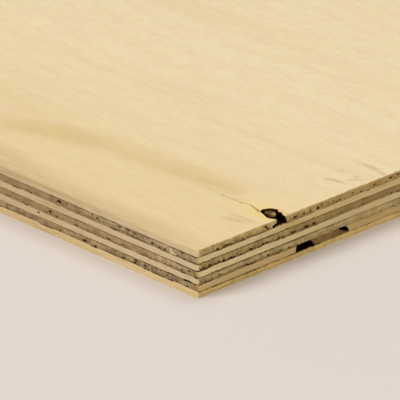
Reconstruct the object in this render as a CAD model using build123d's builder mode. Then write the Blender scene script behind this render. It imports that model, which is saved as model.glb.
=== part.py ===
from build123d import *
import math
import os

os.makedirs("parts", exist_ok=True)

# A sheet of seven-ply plywood lying flat, in millimetres.
# X runs along the grain of the face, Y across it, Z up from the underside.
# The origin is the middle of the underside.
# The knots and the joint are at the corner where the end at +X meets the side at -Y.
sheet_length = 1220.0
sheet_width = 610.0

# Thicknesses of the veneers. The inner ones alternate, crossbands and long plies.
face_thickness = 2.5
back_thickness = 2.5
crossband_thickness = 2.6
long_ply_thickness = 2.6

# Hole that a dead knot left in the face, as an oval roughly along the grain, open at the end
# of the sheet.
face_hole_length = 11.2
face_hole_width = 6.7
face_hole_inset = 4.5
face_hole_from_side = 41.5
face_hole_turn = -7.0

# Crack that runs along the grain from the tip of that hole. It is a long wedge that
# starts in the middle of the hole, drifts a little to the side and ends almost closed.
crack_length = 16.0
crack_mouth = 1.1
crack_tip = 0.2
crack_drift = 1.1

# What is left of the knot stands in the hole, a little lower than the face, with its crown eased.
face_knot_length = 5.6
face_knot_width = 4.4
face_knot_drop = 0.4
face_knot_crown = 0.4
face_knot_inset = 6.3
face_knot_offset = 0.4
face_knot_turn = -7.0

# The second veneer is in two pieces. The strip's end slopes back from its upper edge,
# and the ply below swells up into the joint, where its crest is as wide as the gap.
strip_width = 13.5
strip_slope = 2.9
joint_gap = 0.7
band_end_round = 0.6

# Knot hole of the lower crossband, an oval along its own grain, open at the end of the sheet.
# The wall farther from the side bends in over the hole, in a quarter round.
band_hole_length = 27.4
band_hole_depth = 14.4
band_hole_inset = 2.0
band_hole_from_side = 61.4
band_hole_round = 2.5

# The loose knot in it, an oval sawn off with the sheet. On the sawn end there is a wide void
# beside it on the near side, where its flank leans over the void, and a narrow one on the far
# side, where it runs out into a low tongue. The voids are measured at the top of the knot.
band_knot_depth = 7.0
near_void_width = 7.3
knot_flank_lean = 2.1
far_void_width = 5.0
knot_tongue_length = 3.8
knot_tongue_height = 1.7
knot_tongue_tip = 0.2
knot_tongue_clearance = 0.6

# Places that follow from the sizes above.
end_x = sheet_length / 2
side_y = -sheet_width / 2
back_top = back_thickness
lower_crossband_top = back_top + crossband_thickness
lower_long_top = lower_crossband_top + long_ply_thickness
core_top = lower_long_top + crossband_thickness
upper_long_top = core_top + long_ply_thickness
upper_crossband_top = upper_long_top + crossband_thickness
sheet_thickness = upper_crossband_top + face_thickness
face_hole_x = end_x - face_hole_inset
face_hole_y = side_y + face_hole_from_side
crack_end_x = face_hole_x - face_hole_length / 2 - crack_length
band_hole_x = end_x - band_hole_inset
band_hole_y = side_y + band_hole_from_side
band_hole_cut = math.sqrt(1 - (2 * band_hole_inset / band_hole_depth) ** 2)
near_wall_y = band_hole_y - band_hole_cut * band_hole_length / 2
far_wall_y = band_hole_y + band_hole_cut * band_hole_length / 2
knot_near_y = near_wall_y + near_void_width
knot_far_y = far_wall_y - far_void_width
tongue_end_y = far_wall_y - knot_tongue_clearance
strip_top_x = end_x - strip_width
strip_foot_x = strip_top_x + strip_slope
joint_x = strip_top_x - joint_gap


def veneer(bottom, thickness):
    """A plain full-size veneer whose underside is at the height given."""
    with BuildPart() as ply:
        with BuildSketch(Plane.XY.offset(bottom)):
            Rectangle(sheet_length, sheet_width)
        extrude(amount=thickness)
    return ply


# The veneers of the underside and of the middle have nothing cut into them.
back_veneer = veneer(0, back_thickness)
lower_long_ply = veneer(lower_crossband_top, long_ply_thickness)
core_crossband = veneer(lower_long_top, crossband_thickness)

# Sixth veneer, with the knot hole cut through it and then the rounded wall filled in over it.
with BuildPart() as lower_crossband:
    with BuildSketch(Plane.XY.offset(back_top)):
        Rectangle(sheet_length, sheet_width)
        with Locations((band_hole_x, band_hole_y)):
            Ellipse(band_hole_depth / 2, band_hole_length / 2, mode=Mode.SUBTRACT)
    extrude(amount=crossband_thickness)
    with BuildSketch(Plane.YZ.offset(end_x)):
        with BuildLine():
            EllipticalCenterArc(
                (far_wall_y - band_hole_round, back_top),
                band_hole_round,
                crossband_thickness,
                start_angle=0,
                arc_size=90,
            )
            Polyline(
                (far_wall_y - band_hole_round, lower_crossband_top),
                (far_wall_y + band_hole_round, lower_crossband_top),
                (far_wall_y + band_hole_round, back_top),
                (far_wall_y, back_top),
            )
        make_face()
    extrude(amount=-band_hole_depth / 2)

# The knot fills the hole's height, and the end of the sheet cuts it off flat.
with BuildPart() as lower_crossband_knot:
    with BuildSketch(Plane.YZ.offset(end_x)):
        with BuildLine():
            Polyline(
                (knot_near_y + knot_flank_lean, back_top),
                (tongue_end_y, back_top),
                (tongue_end_y, back_top + knot_tongue_tip),
                (tongue_end_y - knot_tongue_length, back_top + knot_tongue_height),
                (knot_far_y, lower_crossband_top),
                (knot_near_y, lower_crossband_top),
                close=True,
            )
        make_face()
    extrude(amount=-band_knot_depth)
    with BuildSketch(Plane.XY.offset(back_top)):
        with Locations((end_x, (knot_near_y + far_wall_y) / 2)):
            Ellipse(band_knot_depth, (far_wall_y - knot_near_y) / 2)
    extrude(amount=crossband_thickness, mode=Mode.INTERSECT)

# Third veneer, with the ridge along the joint of the veneer above it.
with BuildPart() as upper_long_ply:
    with BuildSketch(Plane.XY.offset(core_top)):
        Rectangle(sheet_length, sheet_width)
    extrude(amount=long_ply_thickness)
    with BuildSketch(Plane.XZ.offset(-side_y)):
        with BuildLine():
            Polyline(
                (joint_x, upper_long_top),
                (strip_foot_x, upper_long_top),
                (strip_top_x, upper_crossband_top),
                (joint_x, upper_crossband_top),
                close=True,
            )
        make_face()
    extrude(amount=-sheet_width)

# Second veneer up to the joint, with the upper edge of its end rounded over.
with BuildPart() as upper_crossband:
    with BuildSketch(Plane.XY.offset(upper_long_top)):
        with Locations((-end_x, side_y)):
            Rectangle(joint_x + end_x, sheet_width, align=(Align.MIN, Align.MIN))
    extrude(amount=crossband_thickness)
    fillet(upper_crossband.faces().sort_by(Axis.X)[-1].edges().sort_by(Axis.Z)[-1], band_end_round)

# The strip beyond the joint, with its sloping end over the ridge.
with BuildPart() as upper_crossband_strip:
    with BuildSketch(Plane.XZ.offset(-side_y)):
        with BuildLine():
            Polyline(
                (strip_foot_x, upper_long_top),
                (end_x, upper_long_top),
                (end_x, upper_crossband_top),
                (strip_top_x, upper_crossband_top),
                close=True,
            )
        make_face()
    extrude(amount=-sheet_width)

# Face veneer, with the knot hole and the crack cut through it.
with BuildPart() as face_veneer:
    with BuildSketch(Plane.XY.offset(upper_crossband_top)):
        Rectangle(sheet_length, sheet_width)
        with Locations((face_hole_x, face_hole_y)):
            Ellipse(face_hole_length / 2, face_hole_width / 2, rotation=face_hole_turn, mode=Mode.SUBTRACT)
        with BuildLine():
            Polyline(
                (face_hole_x, face_hole_y - crack_mouth / 2),
                (face_hole_x, face_hole_y + crack_mouth / 2),
                (crack_end_x, face_hole_y - crack_drift + crack_tip / 2),
                (crack_end_x, face_hole_y - crack_drift - crack_tip / 2),
                close=True,
            )
        make_face(mode=Mode.SUBTRACT)
    extrude(amount=face_thickness)

# The rest of the knot stands on the second veneer.
with BuildPart() as face_knot:
    with BuildSketch(Plane.XY.offset(upper_crossband_top)):
        with Locations((end_x - face_knot_inset, face_hole_y + face_knot_offset)):
            Ellipse(face_knot_length / 2, face_knot_width / 2, rotation=face_knot_turn)
    extrude(amount=face_thickness - face_knot_drop)
    chamfer(face_knot.edges().sort_by(Axis.Z)[-1], face_knot_crown)

pieces = {
    "face_veneer": face_veneer,
    "face_knot": face_knot,
    "upper_crossband": upper_crossband,
    "upper_crossband_strip": upper_crossband_strip,
    "upper_long_ply": upper_long_ply,
    "core_crossband": core_crossband,
    "lower_long_ply": lower_long_ply,
    "lower_crossband": lower_crossband,
    "lower_crossband_knot": lower_crossband_knot,
    "back_veneer": back_veneer,
}
for name, piece in pieces.items():
    piece.part.label = name
    export_step(piece.part, f"parts/{name}.step")
print("sheet thickness", sheet_thickness)
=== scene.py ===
import math

import bpy
import numpy as np
from mathutils import Matrix, Vector
from mathutils.geometry import delaunay_2d_cdt


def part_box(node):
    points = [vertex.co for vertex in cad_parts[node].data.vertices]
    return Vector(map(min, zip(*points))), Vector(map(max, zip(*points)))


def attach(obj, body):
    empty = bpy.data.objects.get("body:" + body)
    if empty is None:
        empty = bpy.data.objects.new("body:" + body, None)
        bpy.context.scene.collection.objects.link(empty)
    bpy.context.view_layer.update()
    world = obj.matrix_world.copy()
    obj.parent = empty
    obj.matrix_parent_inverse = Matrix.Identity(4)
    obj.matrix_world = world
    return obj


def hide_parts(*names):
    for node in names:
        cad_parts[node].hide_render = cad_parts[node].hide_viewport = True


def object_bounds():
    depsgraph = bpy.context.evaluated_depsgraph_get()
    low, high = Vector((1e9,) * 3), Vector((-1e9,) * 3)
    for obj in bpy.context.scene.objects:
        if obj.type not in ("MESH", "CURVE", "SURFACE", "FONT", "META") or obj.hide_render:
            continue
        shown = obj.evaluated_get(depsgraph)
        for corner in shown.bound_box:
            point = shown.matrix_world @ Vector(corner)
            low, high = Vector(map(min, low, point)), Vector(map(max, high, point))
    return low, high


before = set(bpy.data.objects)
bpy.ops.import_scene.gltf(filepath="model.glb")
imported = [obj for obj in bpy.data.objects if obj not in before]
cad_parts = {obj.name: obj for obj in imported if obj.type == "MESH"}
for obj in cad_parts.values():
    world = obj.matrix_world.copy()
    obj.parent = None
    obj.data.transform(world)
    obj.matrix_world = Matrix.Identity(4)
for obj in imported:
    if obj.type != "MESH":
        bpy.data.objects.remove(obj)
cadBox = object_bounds()
print("frame loaded, the CAD box is", [list(corner) for corner in cadBox])

# Everything is worked out in millimetres and turned into metres when a mesh is made.
# A place on the sheet is often given as u, v: how far it is in from the end with the knots,
# and how far in from the side next to them.
mm = 0.001
veneers = ["back_veneer", "lower_crossband", "lower_long_ply", "core_crossband",
           "upper_long_ply", "upper_crossband", "face_veneer"]
glueHeights = [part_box(name)[0].z / mm for name in veneers] + [cadBox[1].z / mm]
endX, farEndX = cadBox[1].x / mm, cadBox[0].x / mm
sideY, farSideY = cadBox[0].y / mm, cadBox[1].y / mm

meshing = {
    "reach": [0, 115, 190, 260],          # distance from the knotty corner
    "spacing": [0.27, 0.31, 0.9, 1.15],   # and how far apart the edge's columns stand there
    "rows": [0, 0.03, 0.08, 0.16, 0.27, 0.4, 0.53, 0.66, 0.77, 0.86, 0.93, 0.975, 1],  # shares of a veneer
    "hidden": 12.0,                       # spacing along edges that another veneer covers
    "cornerRound": 0.45,                  # radius of the sheet's upright edges
    "hiddenRound": 0.01,                  # and of those that other veneers cover
    "gridStep": 45.0,                     # spacing of the points inside a flat surface
    "rimInset": 3.0,                      # a glue line is back at its own height this far in
    "rimStep": 6.0,                       # spacing of the points that hold it there
}


def lattice(a, b, seed):
    # value noise: random numbers at the whole places of a and b, with a smooth step in between
    table = np.random.default_rng(seed).random((256, 256))
    ia, ib = np.floor(a).astype(int), np.floor(b).astype(int)
    fa, fb = a - ia, b - ib
    fa, fb = fa * fa * (3 - 2 * fa), fb * fb * (3 - 2 * fb)
    near = table[ia % 256, ib % 256] * (1 - fa) + table[(ia + 1) % 256, ib % 256] * fa
    far = table[ia % 256, (ib + 1) % 256] * (1 - fa) + table[(ia + 1) % 256, (ib + 1) % 256] * fa
    return near * (1 - fb) + far * fb


def fractal(a, b, seed, octaves=3):
    # value noise in octaves, each twice as fine and half as strong, scaled back to 0..1
    total, weight = 0, 0
    for octave in range(octaves):
        share = 0.5 ** octave
        total = total + share * lattice(a * 2 ** octave + 37 * octave, b * 2 ** octave, seed + octave)
        weight += share
    return total / weight


def above(value, low, high):
    # smooth step: 0 under low, 1 over high
    t = np.clip((value - low) / (high - low), 0, 1)
    return t * t * (3 - 2 * t)


def fromCorner(xy):
    # u and v of places given as x, y
    return endX - xy[..., 0], xy[..., 1] - sideY


def wavy(along, cell, seed, octaves=1):
    # value noise along a line only
    return fractal(along / cell, along * 0, seed, octaves)


def moved(xy, dx=0, dy=0):
    return np.stack([xy[..., 0] + dx, xy[..., 1] + dy], -1)


def run(start, end, kind, coarse=None):
    # points on a straight line, where the running total of one over the wanted spacing is a
    # whole number. The end point belongs to the next run
    start, end = np.array(start, float), np.array(end, float)
    length = np.hypot(*(end - start))
    places = np.linspace(0, length, 3000)
    u, v = fromCorner(start + np.outer(places / length, end - start))
    wanted = np.interp(np.hypot(u, v), meshing["reach"], meshing["spacing"])
    wanted = wanted if coarse is None else coarse + 0 * u
    total = np.concatenate([[0], np.cumsum(np.diff(places) * 0.5 * (1 / wanted[1:] + 1 / wanted[:-1]))])
    count = max(1, int(round(total[-1])))
    at = np.interp(np.arange(count) / count * total[-1], total, places)
    return start + np.outer(at / length, end - start), [kind] * count


def arc(centre, radii, startAngle, endAngle, kind, count):
    # points on an oval from one angle to the other, without the last one
    angle = np.radians(np.linspace(startAngle, endAngle, count, endpoint=False))
    return np.array(centre) + np.array(radii) * np.stack([np.cos(angle), np.sin(angle)], 1), [kind] * count


def smoothLine(places, perSpan, kind):
    # Catmull-Rom curve through places given as u, v, without the last one: each span is the cubic
    # whose slope at a place is half the step from the place before to the place after
    p = np.array([(endX - u, sideY + v) for u, v in places], float)
    p = np.vstack([2 * p[0] - p[1], p, 2 * p[-1] - p[-2]])
    t = np.linspace(0, 1, perSpan, endpoint=False)[:, None, None]
    a, b, c, d = (p[i:len(p) - 3 + i][None] for i in range(4))
    bent, twisted = 2 * a - 5 * b + 4 * c - d, 3 * b - a - 3 * c + d
    spans = 0.5 * (2 * b + (c - a) * t + bent * t ** 2 + twisted * t ** 3)
    return spans.transpose(1, 0, 2).reshape(-1, 2), [kind] * (spans.shape[0] * spans.shape[1])


def outlineOf(*runs):
    # joins runs into a closed outline, anticlockwise from above. Outwards is the right-hand side
    # of the step from the point before to the point after
    xy = np.vstack([points for points, kinds in runs])
    kind = np.concatenate([kinds for points, kinds in runs])
    step = np.roll(xy, -1, 0) - np.roll(xy, 1, 0)
    gap = np.linalg.norm(step, axis=1)
    step /= gap[:, None]
    return {"xy": xy, "out": np.stack([step[:, 1], -step[:, 0]], 1), "kind": kind,
            "along": np.where(kind == "side", xy[:, 0], xy[:, 1]), "spacing": gap / 2}


def sheetOutline(openings=(), lowX=None, highX=None, stops=()):
    # the sheet's rectangle with round corners. Each opening leaves the knotty end at its lower lip
    # and comes back at its upper one. lowX or highX is an edge that other veneers hide, with a
    # spacing of its own. stops are places along the two sides where a column has to stand
    (x0, r0, kind0, coarse0), (x1, r1, kind1, coarse1) = (
        (outside, meshing["cornerRound"], "end", None) if x is None else
        (x, meshing["hiddenRound"], "hidden", meshing["hidden"])
        for x, outside in ((lowX, farEndX), (highX, endX)))
    knottyEnd, y = [], sideY + r1
    for lowerLip, upperLip, inside in openings:
        knottyEnd += [run((x1, y), (x1, sideY + lowerLip), kind1), *inside]
        y = sideY + upperLip
    knottyEnd += [run((x1, y), (x1, farSideY - r1), kind1, coarse1)]
    places = [x0 + r0, *sorted(stops), x1 - r1]
    spans = list(zip(places[:-1], places[1:]))
    farSide = [run((b, farSideY), (a, farSideY), "side") for a, b in reversed(spans)]
    nearSide = [run((a, sideY), (b, sideY), "side") for a, b in spans]

    def corner(x, y, startAngle, kind):
        # an eighth of a circle at one of the four upright corners
        r = r0 if x == x0 else r1
        centre = (x + r if x == x0 else x - r, y + r if y == sideY else y - r)
        return arc(centre, (r, r), startAngle, startAngle + 45, kind, 4)

    return outlineOf(
        corner(x1, sideY, -45, kind1), *knottyEnd,
        corner(x1, farSideY, 0, kind1), corner(x1, farSideY, 45, "side"), *farSide,
        corner(x0, farSideY, 90, "side"), corner(x0, farSideY, 135, kind0),
        run((x0, farSideY - r0), (x0, sideY + r0), kind0, coarse0),
        corner(x0, sideY, 180, kind0), corner(x0, sideY, 225, "side"), *nearSide,
        corner(x1, sideY, -90, "side"))


# The glue lines wave a little where the press squeezed them, and stand open here and there.
glueLines = {
    "wave": 0.05, "waveLength": 16.0, "ripple": 0.02, "rippleLength": 2.4, "rise": 0.18, "sink": 0.22,
    "gapFrom": 0.66, "gapHeight": 0.28, "gapLength": 4.5,
    # distance from the corner, glue line counted from the face, half length, height
    "side": [(18.9, 1, 0.9, 0.25), (8.1, 1, 1.5, 0.6), (3.9, 1, 0.5, 0.25), (13.6, 5, 2.6, 0.5),
             (4.4, 5, 3.0, 0.65), (36.0, 1, 5.0, 0.22), (22.2, 6, 1.6, 0.25), (14.8, 6, 1.7, 0.28),
             (5.9, 6, 0.7, 0.2), (8.0, 3, 6.0, 0.22), (60.0, 3, 3.0, 0.2), (1.6, 2, 1.2, 0.25),
             (1.4, 3, 1.2, 0.3), (1.2, 4, 1.0, 0.25)],
    "end": [(1.2, 2, 1.0, 0.22), (26.0, 1, 9.0, 0.26), (12.0, 6, 13.0, 0.1), (33.0, 2, 5.2, 0.24),
            (39.6, 5, 2.2, 0.3), (4.0, 1, 2.0, 0.22), (11.0, 1, 4.6, 0.16), (3.5, 3, 3.0, 0.45),
            (13.5, 3, 4.4, 0.32), (20.5, 3, 1.4, 0.26), (27.0, 3, 1.6, 0.22), (27.0, 6, 2.4, 0.42),
            (37.5, 1, 0.9, 0.3)],
}


def glueWave(line, xy):
    # height of a glue line over its nominal one: long and short waves of noise, and the lowest
    # line rises at the side and sinks at the end. The outer surfaces, line 0 and line 7 counted
    # from the face, are sanded flat
    g = glueLines
    if line in (0, 7):
        return np.zeros(len(xy))
    long = fractal(xy[:, 0] / g["waveLength"], xy[:, 1] / g["waveLength"], 100 + line, 2) - 0.5
    short = lattice(xy[:, 0] / g["rippleLength"], xy[:, 1] / g["rippleLength"], 120 + line) - 0.5
    wave = 2 * g["wave"] * long + 2 * g["ripple"] * short
    if line == 6:
        u, v = fromCorner(xy)
        onSide, onEnd = above(-v, -30, -4) * above(u, -2, 8), above(-u, -30, -4) * above(v, -2, 8)
        wave = wave + g["rise"] * onSide - g["sink"] * onEnd
    return wave


def glueGap(line, outline, share, warp):
    # how far a glue line stands open at the edge: noise over a threshold, and the places above.
    # share and warp say where the edge ends up there
    g, along = glueLines, outline["along"]
    if line in (0, 7):
        return 0 * along
    noise = fractal(along / g["gapLength"], along * 0 + 7 * line, 140 + line, 3)
    gap = g["gapHeight"] * above(noise, g["gapFrom"], g["gapFrom"] + 0.1) * (outline["spacing"] < 0.8)
    u, v = fromCorner(outline["xy"] if warp is None else warp(outline["xy"], share + 0 * along))
    ragged = 0.3 + 1.2 * wavy(along, 0.9, 160 + line)
    for edge, place in (("side", u), ("end", v)):
        for distance, lineThere, halfLength, height in g[edge]:
            if lineThere == line:
                near = np.exp(-((place - distance) / halfLength) ** 4) * (outline["kind"] == edge)
                gap = np.maximum(gap, height * near * ragged)
    return gap


# Relief of the sawn edges, as depths in from the saw cut. Across the grain it has torn fibre ends,
# pits and the slanted checks that the peeling knife left. Along the grain it has long scratches.
sawCut = {
    "endGrain": {"rough": 0.1, "cell": 0.36, "pit": 0.5, "pitCell": 0.6, "pitFrom": 0.69},
    "checks": {"depth": 0.35, "spacing": 1.5, "slant": 1.3, "halfWidth": 0.12, "share": 0.35,
               "different": 997},
    "longGrain": {"rough": 0.03, "cell": 7.0, "cellHeight": 0.26, "tear": 0.1, "tearFrom": 0.76},
    "corner": {"wear": 0.4, "height": 0.8, "reach": 0.75, "held": 0.7, "mark": 1.1, "innerEnd": 0.3},
    "holeWall": {"rough": 0.35, "cell": 0.9},
    # dark is how dark the glue grooves are painted, partly glue and partly painted shade; darkUnder is the
    # painted shadow under the veneer above end grain
    "glueLine": {"depth": 0.14, "height": 0.1, "length": 2.6, "under": 0.16,
                 "dark": 0.45, "darkUnder": 0.66, "paleFrom": 45, "paleTo": 95},
    # pits: distance from the corner, height, half length, half height, depth
    "side": [(70.9, 14.2, 1.1, 0.55, 1.0), (75.7, 8.8, 1.0, 0.5, 0.9), (66.9, 14.5, 0.5, 0.3, 0.6),
             (53.7, 14.7, 0.5, 0.3, 0.6), (61.7, 8.0, 1.3, 0.3, 0.8), (45.2, 7.9, 0.8, 0.3, 0.7),
             (16.7, 13.3, 0.7, 0.35, 0.9), (19.2, 13.2, 0.5, 0.3, 0.7), (23.0, 13.6, 0.6, 0.45, 0.8),
             (31.8, 14.4, 1.5, 0.6, 0.42), (35.3, 14.6, 1.5, 0.5, 0.42), (39.9, 14.6, 1.4, 0.45, 0.42),
             (51.1, 14.1, 0.9, 0.5, 0.5), (85.6, 12.9, 0.8, 0.3, 0.6), (81.7, 6.6, 0.7, 0.4, 0.7),
             (57.8, 3.3, 1.1, 0.45, 0.9), (52.2, 3.0, 0.8, 0.35, 0.8), (37.4, 3.0, 1.0, 0.35, 0.9),
             (31.5, 4.3, 0.9, 0.4, 0.9), (32.0, 3.2, 0.8, 0.3, 0.9), (26.8, 3.7, 0.7, 0.35, 0.8),
             (23.2, 3.8, 0.6, 0.3, 0.7), (15.3, 3.9, 0.6, 0.3, 0.7), (8.0, 14.6, 0.6, 0.5, 0.9),
             (4.6, 8.8, 0.6, 0.35, 0.7), (8.4, 8.1, 0.5, 0.25, 0.7), (4.8, 4.95, 2.9, 0.42, 0.5),
             (13.4, 4.9, 2.4, 0.36, 0.42)],
    "end": [(48.0, 16.2, 1.2, 0.36, 1.1), (52.4, 16.2, 0.8, 0.36, 0.9), (55.4, 16.3, 0.4, 0.5, 0.7),
            (59.3, 16.3, 0.8, 0.42, 1.0), (61.0, 16.8, 0.45, 0.4, 0.8), (64.2, 16.4, 0.5, 0.25, 0.7),
            (67.0, 16.3, 0.6, 0.3, 0.8), (70.0, 16.2, 0.7, 0.36, 0.9), (76.6, 16.6, 0.6, 0.3, 0.7),
            (81.0, 15.9, 0.7, 0.3, 0.8), (87.5, 16.5, 0.9, 0.3, 0.8), (95.9, 16.8, 1.2, 0.35, 0.9),
            (99.8, 16.8, 1.0, 0.3, 0.8), (40.2, 15.42, 2.6, 0.34, 0.25), (33.4, 16.9, 0.8, 0.7, 0.5),
            (34.3, 16.1, 0.7, 0.6, 0.5), (9.7, 15.65, 1.0, 0.34, 0.9), (12.7, 15.6, 0.8, 0.18, 0.6),
            (15.3, 15.75, 1.9, 0.3, 0.9), (19.0, 15.9, 0.8, 0.22, 0.5), (22.2, 15.9, 0.8, 0.22, 0.5),
            (24.8, 16.05, 0.7, 0.2, 0.45), (3.0, 11.0, 0.6, 0.35, 0.8), (6.2, 10.9, 0.7, 0.35, 0.9),
            (10.4, 10.8, 0.6, 0.3, 0.8), (12.9, 10.8, 0.7, 0.3, 0.9), (16.0, 10.7, 0.8, 0.3, 0.9),
            (19.4, 10.9, 0.7, 0.35, 0.8), (26.0, 10.8, 0.7, 0.3, 0.8), (31.9, 10.7, 0.9, 0.35, 0.9),
            (34.0, 10.6, 0.8, 0.3, 0.8), (40.2, 11.0, 0.7, 0.35, 0.7), (47.1, 10.6, 1.1, 0.35, 0.8),
            (53.4, 10.8, 1.6, 0.4, 0.9), (57.3, 10.8, 1.1, 0.35, 0.8), (29.5, 12.7, 0.6, 0.25, 0.6),
            (34.9, 12.8, 0.6, 0.25, 0.6), (43.7, 12.9, 0.7, 0.25, 0.6), (7.4, 5.5, 0.6, 0.3, 0.7),
            (11.0, 5.7, 0.6, 0.25, 0.7), (24.1, 5.3, 0.8, 0.3, 0.7), (34.5, 5.6, 0.6, 0.45, 0.8),
            (41.0, 5.5, 1.1, 0.28, 0.7), (45.0, 5.4, 0.8, 0.28, 0.7)],
}


def rowHeights(low, high, rows):
    return low[:, None] + (high - low)[:, None] * np.array(rows)


def heldFibres(outline, heights):
    # whether a place on the end is so near an upright corner that the long fibres of the veneers
    # along the side still cover it. The border is ragged
    toSide = np.minimum(outline["xy"][:, 1] - sideY, farSideY - outline["xy"][:, 1])[:, None]
    reach = sawCut["corner"]["held"] + 0.6 * (wavy(heights, 0.4, 71) - 0.5)
    return (outline["kind"][:, None] == "end") & (toSide < reach)


def sawnRelief(outline, heights, endGrainKind, seed, glued, torn, warp):
    # depth of the saw cut behind its plane and how dark it is painted, for each column and row: painted
    # shade in its pits, checks, grooves and gaps. glued says whether there is a glue line below and above,
    # torn how coarse the end grain is
    s, along = sawCut, outline["along"][:, None] + 0 * heights
    kind = outline["kind"][:, None]
    share = (heights - heights[:, :1]) / (heights[:, -1:] - heights[:, :1])

    def grit(length, height, shift, octaves=1):
        # value noise in cells of a length and a height
        return fractal(along / length, heights / height, seed + shift, octaves)

    # less relief where columns stand far apart
    detail = np.clip(0.45 / outline["spacing"], 0.3, 1)[:, None]
    e, c, g = s["endGrain"], s["checks"], s["longGrain"]
    # fibre ends, and pits where the noise passes a threshold, more of them low in the veneer
    rough = e["rough"] * grit(e["cell"], e["cell"], 0, 3)
    pit = above(grit(e["pitCell"], 0.55 * e["pitCell"], 10, 2), e["pitFrom"], e["pitFrom"] + 0.07)
    pit = pit * (0.2 + 0.8 * above(0.3 - share, -0.08, 0.24))
    # the knife's checks: slanted lines of uneven spacing that rise from the lower glue line
    slanted = (along + c["slant"] * heights + 2 * grit(6, 6, 22)) / c["spacing"]
    number = np.floor(slanted).astype(int) % c["different"]
    chance, reach = np.random.default_rng(seed + 21).random((2, c["different"]))
    fromLine = (slanted - np.floor(slanted) - 0.2 - 0.6 * reach[number]) * c["spacing"]
    check = np.exp(-(fromLine / c["halfWidth"]) ** 2) * (chance[number] < c["share"])
    check = check * above(0.12 + 0.6 * reach[number] - share, 0, 0.15)
    endGrain = rough + torn * (e["pit"] * pit + c["depth"] * check)
    # long scratches, and grooves where a fibre was torn out
    scratch = g["rough"] * grit(g["cell"], g["cellHeight"], 20, 3)
    tear = above(grit(1.6 * g["cell"], g["cellHeight"], 30, 2), g["tearFrom"], g["tearFrom"] + 0.1)
    isEnd = (kind == endGrainKind) & ~heldFibres(outline, heights)
    depth = np.where(isEnd, endGrain * above(share, -0.02, 0.2), scratch + g["tear"] * tear) * detail
    # pits and checks in end grain, and torn grooves along it, are painted dark as shade inside them
    dark = np.where(isEnd, torn * np.maximum(0.9 * pit, 0.45 * check), 0.25 * tear)
    # the pits listed above, with ragged rims, painted darker the deeper they are, as shade inside them
    xy = outline["xy"][:, None, :] + 0 * heights[:, :, None]
    u, v = fromCorner(xy if warp is None else warp(xy, share))
    ragged = 0.9 * (grit(0.5, 0.35, 50, 2) - 0.5)
    for edge, place in (("side", u), ("end", v)):
        for distance, height, halfLength, halfHeight, deep in s[edge]:
            far = ((place - distance) / halfLength) ** 2 + ((heights - height) / halfHeight) ** 2
            mark = above(1.15 - far + ragged, 0, 0.7) * ((kind == edge) & (np.abs(place - distance) < 4))
            depth = np.maximum(depth, deep * mark)
            dark = np.maximum(dark, min(1, 1.25 * deep) * mark)
    # the glue lines are thin grooves, deeper in some places than in others, and painted dark: partly the
    # glue, partly painted shade in the groove
    q = s["glueLine"]
    fromLow, fromHigh = (far if there else 9 + 0 * heights for far, there in
                         zip((heights - heights[:, :1], heights[:, -1:] - heights), glued))
    fromGlue = np.minimum(fromLow, fromHigh)
    strength = wavy(along, q["length"], seed + 60)
    groove = np.exp(-fromGlue / q["height"])
    depth = depth + q["depth"] * groove * (0.25 + strength) * detail
    near = 0.4 + 0.6 * above(q["paleTo"] - np.maximum(u, v), 0, q["paleTo"] - q["paleFrom"])
    dark = np.maximum(dark, q["dark"] * near * groove * above(strength, 0.35, 0.85))
    # and where end grain meets the veneer above it, a thin line of painted shadow under that veneer shows
    # nearly everywhere
    under = np.exp(-fromHigh / q["height"]) * isEnd
    depth = depth + q["under"] * under * detail
    dark = np.maximum(dark, q["darkUnder"] * near * under * above(strength, 0, 0.5))
    # walls of holes and cracks, and edges that nobody sees
    wall = s["holeWall"]
    wallDepth = wall["rough"] * grit(wall["cell"], wall["cell"], 40, 3)
    depth = np.where(kind == "hole", wallDepth, np.where(kind == "crack", 0.25 * wallDepth, depth))
    depth = np.where(kind == "hidden", 0, depth)
    # close to an upright corner the relief stays inside the corner, and the glue lines are painted dark as
    # shadow under the veneers' tips
    x, y = outline["xy"].T
    toCorner = np.where(outline["kind"] == "side", np.minimum(endX - x, x - farEndX),
                        np.where(outline["kind"] == "end", np.minimum(y - sideY, farSideY - y), 9))
    depth = np.minimum(depth, 0.04 + 0.5 * toCorner[:, None])
    k = s["corner"]
    mark = np.exp(-fromGlue / 0.16) * np.exp(-(toCorner[:, None] / k["mark"]) ** 4)
    dark = np.maximum(dark, 0.95 * mark * above(grit(0.4, 0.5, 72), 0.1, 0.5))
    # and where a band ends inside the sheet, its end shows as a dark line on the side
    innerX = x[outline["kind"] == "hidden"]
    if len(innerX):
        ending = np.exp(-np.abs(x - np.median(innerX)) / k["innerEnd"])[:, None] * (kind == "side")
        dark = np.maximum(dark, 0.6 * ending * above(grit(0.5, 0.5, 73), -0.2, 0.4))
    # the upright corner itself is worn in places, most of all beside the glue lines
    worn = above(fractal(0 * along, heights / k["height"], seed + 70, 2) + 0.25 * groove, 0.35, 0.8)
    return depth + k["wear"] * worn * np.exp(-(toCorner[:, None] / k["reach"]) ** 2), np.clip(dark, 0, 1)


def innerPoints(lowX, highX):
    # points inside the sheet: a coarse grid, and a ring a little in from the edge
    inset, step = meshing["rimInset"], meshing["gridStep"]
    x0, x1, y0, y1 = lowX + inset, highX - inset, sideY + inset, farSideY - inset
    grid = np.stack(np.meshgrid(np.linspace(x0, x1, max(2, int((x1 - x0) / step)))[1:-1],
                                np.linspace(y0, y1, int((y1 - y0) / step))[1:-1]), -1).reshape(-1, 2)
    rimX = np.linspace(x0, x1, max(2, int((x1 - x0) / meshing["rimStep"])))
    rimY = np.linspace(y0, y1, int((y1 - y0) / meshing["rimStep"]))
    rim = [np.stack([rimX, 0 * rimX + y], 1) for y in (y0, y1)]
    rim += [np.stack([0 * rimY[1:-1] + x, rimY[1:-1]], 1) for x in (x0, x1)]
    return np.vstack([grid, *rim])


def finePatch(alongU, alongV):
    # a regular patch of points near the knotty end, from start, end and step in u and in v
    u, v = np.meshgrid(np.arange(*alongU), np.arange(*alongV))
    return np.stack([endX - u.ravel(), sideY + v.ravel()], 1)


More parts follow.
